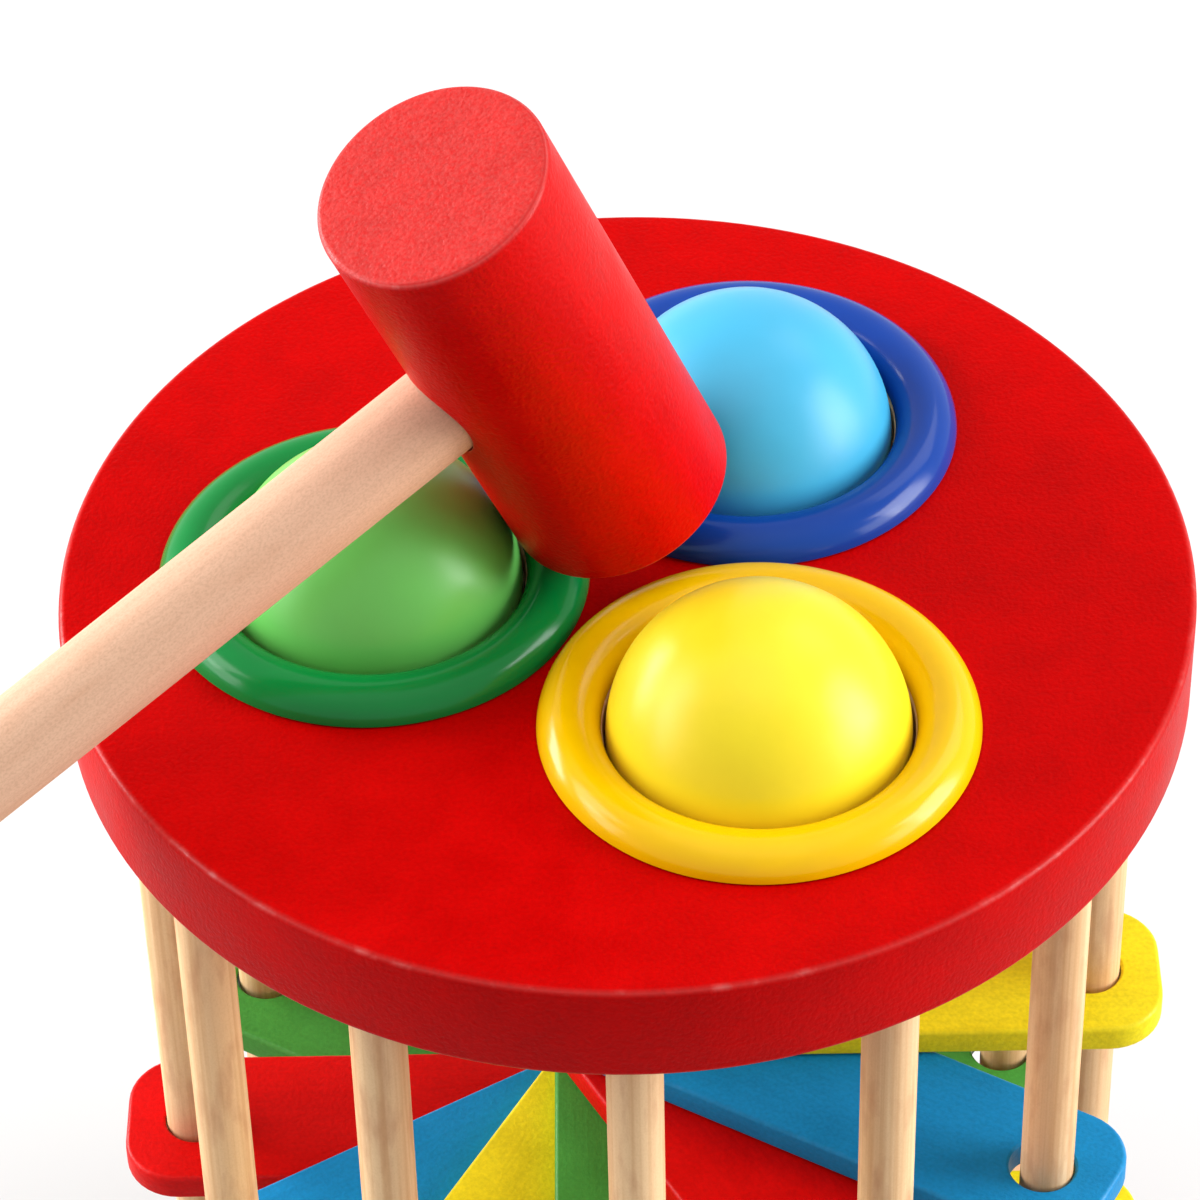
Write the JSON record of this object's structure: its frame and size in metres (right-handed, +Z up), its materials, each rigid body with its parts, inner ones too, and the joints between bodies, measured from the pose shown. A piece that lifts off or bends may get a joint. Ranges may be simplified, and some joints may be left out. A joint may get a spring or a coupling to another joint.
{
  "type": "pound and roll tower",
  "caption": "Wooden toy tower: balls are hammered through a round table, drop onto a spiral stair between dowels and roll out at the base; with its hammer.",
  "frame": {"origin": "middle of the base plate's underside, on the surface that the tower stands on", "axes": "+Z up along the tower's axis; -Y towards the viewer of the picture; +X to the viewer's right"},
  "size_m": [0.2206, 0.1714, 0.316],
  "materials": {
    "red_paint": "satin paint on turned or cut wood",
    "blue_paint": "satin paint on wood",
    "yellow_paint": "satin paint on wood",
    "green_paint": "satin paint on wood",
    "pine": "bare sanded softwood",
    "beech": "bare sanded beech",
    "ring_blue": "glossy",
    "ring_green": "glossy",
    "ring_yellow": "glossy",
    "ball_blue": "semi-gloss lacquer on wood",
    "ball_green": "semi-gloss lacquer on wood",
    "ball_yellow": "semi-gloss lacquer on wood",
    "rubber": "matt natural rubber"
  },
  "bodies": {
    "tower": {"base_plate": "red_paint", "top_plate": "red_paint", "centre_post": "pine", "dowel_01": "pine", "dowel_02": "pine", "dowel_03": "pine", "dowel_04": "pine", "dowel_05": "pine", "dowel_06": "pine", "dowel_07": "pine", "dowel_08": "pine", "dowel_09": "pine", "dowel_10": "pine", "dowel_11": "pine", "dowel_12": "pine", "step_01": "blue_paint", "step_02": "yellow_paint", "step_03": "green_paint", "step_04": "red_paint", "step_05": "blue_paint", "step_06": "yellow_paint", "step_07": "green_paint", "step_08": "red_paint", "step_09": "blue_paint", "step_10": "yellow_paint", "step_11": "green_paint", "step_12": "red_paint", "step_13": "blue_paint", "step_14": "yellow_paint", "step_15": "green_paint", "step_16": "red_paint", "step_17": "blue_paint", "step_18": "yellow_paint", "step_19": "green_paint", "step_20": "red_paint", "step_21": "blue_paint", "step_22": "yellow_paint", "step_23": "green_paint", "step_24": "red_paint", "ring_blue": "ring_blue", "ring_green": "ring_green", "ring_yellow": "ring_yellow", "retainer_blue": "rubber", "retainer_green": "rubber", "retainer_yellow": "rubber"},
    "blue_ball": {"ball_blue": "ball_blue"},
    "green_ball": {"ball_green": "ball_green"},
    "yellow_ball": {"ball_yellow": "ball_yellow"},
    "hammer": {"hammer_head": "red_paint", "hammer_handle": "beech"}
  },
  "joints": [
    {"name": "blue_ball_drop", "type": "slide", "parent": "tower", "child": "blue_ball", "axis": [0, 0, 1], "range_m": [-0.0547, 0], "deforming": ["retainer_blue"]},
    {"name": "green_ball_drop", "type": "slide", "parent": "tower", "child": "green_ball", "axis": [0, 0, 1], "range_m": [-0.0939, 0], "deforming": ["retainer_green"]},
    {"name": "yellow_ball_drop", "type": "slide", "parent": "tower", "child": "yellow_ball", "axis": [0, 0, 1], "range_m": [-0.0719, 0], "deforming": ["retainer_yellow"]},
    {"name": "hammer_lift", "type": "slide", "parent": "tower", "child": "hammer", "axis": [0, 0, 1], "range_m": [0, 0.12]}
  ]
}
